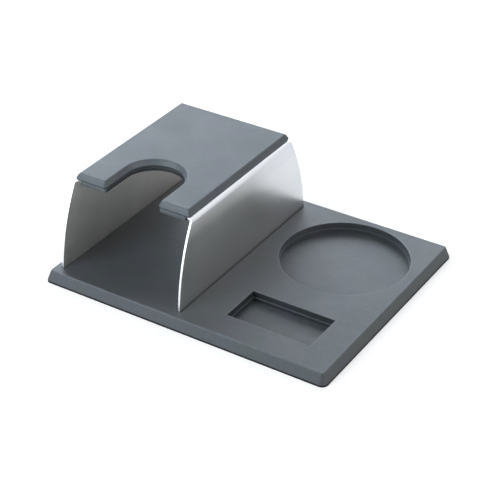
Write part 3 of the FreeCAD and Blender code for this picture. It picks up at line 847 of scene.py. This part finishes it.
def pale_floor(name, colour, glow, far_glow):
    """A pale floor that looks white to the camera and in reflections.

    Between two distances from the middle, in metres, its glow grows from near to far."""
    finish = Finish(bpy.data.materials.new(name))
    watched = finish.ray("Camera")
    seen = watched.at_least(finish.ray("Glossy")).at_least(finish.ray("Transmission"))
    x, y = finish.axes(finish.place())[:2]
    far = (x * x + y * y).root().ramp(glow_starts, glow_ends) * watched
    light = finish.node("ShaderNodeEmission", sockets={
        "Color": finish.mix(far, rgb(glow, glow, glow), rgb(far_glow, far_glow, far_glow)),
        "Strength": 0.9 * seen + 0.1 * watched})
    plain = finish.node("ShaderNodeBsdfDiffuse", sockets={"Color": rgb(*colour)})
    return finish.close(finish.node("ShaderNodeAddShader", sockets={0: plain, 1: light}))


def floor_piece(name, half, material):
    """A square floor at z = 0."""
    corners = [(-half, -half, 0), (half, -half, 0), (half, half, 0), (-half, half, 0)]
    mesh = bpy.data.meshes.new(name)
    mesh.from_pydata(corners, [], [(0, 1, 2, 3)])
    mesh.materials.append(material)
    piece = bpy.data.objects.new(name, mesh)
    bpy.context.scene.collection.objects.link(piece)
    piece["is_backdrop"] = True
    return piece


floor = floor_piece("floor", 6.0, pale_floor("floor_white", (0.66, 0.64, 0.61), 0.58, 0.9))
print("floor: %.0f m square, in %s" % (floor.dimensions.x, floor.data.materials[0].name))

# %% [markdown]
# ## Lamps
#
# A studio lights such a product with softboxes, which are large square lamps, so that shadows
# are soft and steel has broad highlights. Two stand behind the object, where the flat rubber
# mirrors them to the camera as an even sheen. Two at the front left light the slopes, the pad's
# front faces and the inside of the bridge, and one on the right lights the brushed wall. They
# could be of one white, but the photograph's rubber is bluer where it mirrors the lamps, so the
# boxes are cool, apart from the one on the steel.

# %% Softboxes
lamp_distance = 2.4
cool, nearly_white = (0.88, 1.0, 1.12), (0.96, 1.0, 1.04)


def softbox(name, azimuth, elevation, size, power, colour):
    """A square lamp, aimed at the object. Azimuth 0 is the front, 90 the right.

    The angles are in degrees, the size is its side in metres, and the power is in watts."""
    turn, lift = math.radians(azimuth), math.radians(elevation)
    place = lamp_distance * Vector((
        math.cos(lift) * math.sin(turn), -math.cos(lift) * math.cos(turn), math.sin(lift)))
    light = bpy.data.lights.new(name, "AREA")
    light.shape, light.size, light.energy, light.color = "SQUARE", size, power, colour
    lamp = bpy.data.objects.new(name, light)
    lamp.location = place
    lamp.rotation_euler = (-place).to_track_quat("-Z", "Y").to_euler()
    bpy.context.scene.collection.objects.link(lamp)
    print("%s: %.1f m wide, %.1f W, %.2f m up" % (name, size, power, place.z))


softbox("left_back_box", 240, 23, 1.5, 28.0, cool)
softbox("back_box", 200, 33, 1.7, 22.8, cool)
softbox("front_left_low_box", 330, 19, 1.4, 22.5, cool)
softbox("front_left_high_box", 330, 40, 1.2, 18.8, cool)
softbox("right_box", 90, 25, 1.2, 18.0, nearly_white)

# %% [markdown]
# ## The sky
#
# The rest of the studio is bright too and fills the shadows. The camera sees it as white. On the
# object it gives little light, because the lamps give most of it, but steel shows what is round
# it, so reflections see it white as well, with a greyer belt a little above the horizon, where a
# studio has its walls. That belt gives the brushed walls their shading from top to bottom.

# %% Sky
sky = Finish(bpy.data.worlds.new("sky"), "ShaderNodeOutputWorld")
fill_light, white, belt_shade = 0.15, 1.0, 0.25
watched, mirrored = sky.ray("Camera"), sky.ray("Glossy")
strength = sky.node("ShaderNodeMapRange", sockets={
    "Value": watched.at_least(mirrored), "To Min": fill_light, "To Max": white})
height = sky.axes(sky.node("ShaderNodeTexCoord", output="Generated"))[2]
belt = (1 - abs(height - 0.08).ramp(0.05, 0.30)) * mirrored
bpy.context.scene.world = sky.close(sky.node("ShaderNodeBackground", sockets={
    "Color": rgb(1.0, 1.0, 1.0), "Strength": strength * (1 - belt_shade * belt)}))
bpy.context.scene.view_settings.view_transform = "Standard"
print("world:", bpy.context.scene.world.name, "with", len(sky.tree.nodes), "nodes")

# %% [markdown]
# ## The size, once more
#
# The dressed part's box, worked out once more and printed like the measured parts' box above.
# The dressed part has to be as large as the measured one.

# %% The dressed part's box
dressed_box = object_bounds()
print("the dressed part reaches from %s to %s mm" % tuple(in_mm(corner) for corner in dressed_box))
